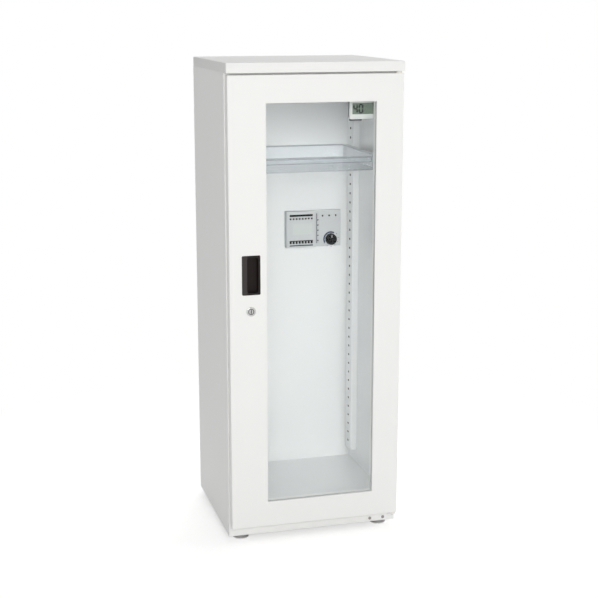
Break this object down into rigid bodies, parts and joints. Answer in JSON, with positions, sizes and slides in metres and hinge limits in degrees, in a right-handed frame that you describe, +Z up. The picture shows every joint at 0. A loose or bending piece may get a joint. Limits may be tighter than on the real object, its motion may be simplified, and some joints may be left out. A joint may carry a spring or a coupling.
{
  "type": "dry storage cabinet",
  "caption": "Tall steel dry storage cabinet with a glazed hinged door, lock, slotted shelf posts, sliding clear tray, hygrometer, drying unit with dial, and levelling feet.",
  "frame": {"origin": "on the floor, under the middle of the cabinet's bounding box", "axes": "+Z up, the door faces -Y, the hinges are at +X"},
  "size_m": [0.44, 0.4, 1.195],
  "materials": {
    "body_white": "satin powder coat",
    "liner_white": "satin powder coat",
    "zinc_steel": "zinc plated",
    "chrome": "polished",
    "screw_steel": "plated",
    "seal_rubber": "matt grey",
    "dark_rubber": "matt black",
    "black_plastic": "fine grain",
    "dark_plastic": "fine grain",
    "light_plastic": "satin",
    "unit_grey": "satin",
    "nylon": "satin",
    "clear_plastic": "clear",
    "door_glass": "polished",
    "display_green": "liquid crystal",
    "scale_blue": "printed",
    "lamp_dark": "smoked lens",
    "board_green": "solder mask",
    "desiccant": "porous block"
  },
  "bodies": {
    "cabinet": {"left_side_panel": "body_white", "right_side_panel": "body_white", "back_panel": "body_white", "base_pan": "body_white", "front_frame": "body_white", "top_panel": "body_white", "top_cover": "body_white", "left_liner": "liner_white", "right_liner": "liner_white", "back_liner": "liner_white", "inner_floor": "liner_white", "inner_ceiling": "liner_white", "front_left_post": "liner_white", "front_right_post": "liner_white", "rear_left_post": "liner_white", "rear_right_post": "liner_white", "left_tray_rail": "liner_white", "right_tray_rail": "liner_white", "foot_nuts": "zinc_steel", "bottom_hinge_bracket": "body_white", "bottom_hinge_pin": "zinc_steel", "top_hinge_bracket": "zinc_steel", "top_hinge_pin": "zinc_steel", "case_screws": "screw_steel", "hygrometer_case": "light_plastic", "hygrometer_back": "dark_plastic", "hygrometer_display": "display_green", "hygrometer_hanger": "zinc_steel", "unit_housing": "unit_grey", "vent_box": "unit_grey", "control_panel": "unit_grey", "dial_scale": "scale_blue", "indicator_lamps": "lamp_dark", "circuit_board": "board_green", "desiccant_pack": "desiccant", "rear_vent_cover": "dark_plastic", "cord_grommet": "dark_rubber"},
    "door": {"door_skin": "body_white", "door_back_frame": "body_white", "door_glass": "door_glass", "glazing_seal": "seal_rubber", "door_gasket": "seal_rubber", "hinge_bushes": "nylon", "hinge_plates": "zinc_steel", "handle_cup": "black_plastic", "lock_barrel": "chrome", "lock_nut": "zinc_steel"},
    "lock": {"lock_plug": "chrome", "lock_cam": "zinc_steel", "cam_screw": "screw_steel"},
    "tray": {"tray": "clear_plastic"},
    "dial": {"dial_knob": "black_plastic"},
    "shutter": {"shutter_rod": "zinc_steel", "shutter_plates": "dark_plastic"},
    "front_left_foot": {"foot_front_left": "chrome"},
    "front_right_foot": {"foot_front_right": "chrome"},
    "rear_left_foot": {"foot_rear_left": "chrome"},
    "rear_right_foot": {"foot_rear_right": "chrome"}
  },
  "joints": [
    {"name": "door_hinge", "type": "hinge", "parent": "cabinet", "child": "door", "pos_m": [0.208, -0.1865, 0.6], "axis": [0, 0, 1], "range_deg": [0, 120]},
    {"name": "lock_turn", "type": "hinge", "parent": "door", "child": "lock", "pos_m": [-0.1648, -0.18, 0.602], "axis": [0, -1, 0], "range_deg": [0, 90]},
    {"name": "tray_slide", "type": "slide", "parent": "cabinet", "child": "tray", "axis": [0, -1, 0], "range_m": [0, 0.126]},
    {"name": "dial_turn", "type": "hinge", "parent": "cabinet", "child": "dial", "pos_m": [0.148, 0.168, 0.702], "axis": [0, -1, 0], "range_deg": [-150, 150]},
    {"name": "shutter_slide", "type": "slide", "parent": "cabinet", "child": "shutter", "axis": [0, -1, 0], "range_m": [0, 0.004]},
    {"name": "front_left_foot_turn", "type": "hinge", "parent": "cabinet", "child": "front_left_foot", "pos_m": [-0.184, -0.142, 0], "axis": [0, 0, 1], "continuous": true},
    {"name": "front_right_foot_turn", "type": "hinge", "parent": "cabinet", "child": "front_right_foot", "pos_m": [0.184, -0.142, 0], "axis": [0, 0, 1], "continuous": true},
    {"name": "rear_left_foot_turn", "type": "hinge", "parent": "cabinet", "child": "rear_left_foot", "pos_m": [-0.184, 0.169, 0], "axis": [0, 0, 1], "continuous": true},
    {"name": "rear_right_foot_turn", "type": "hinge", "parent": "cabinet", "child": "rear_right_foot", "pos_m": [0.184, 0.169, 0], "axis": [0, 0, 1], "continuous": true}
  ],
  "couplings": [
    {"joint": "tray_slide", "follows": "door_hinge", "m_per_rad": 0.06}
  ]
}
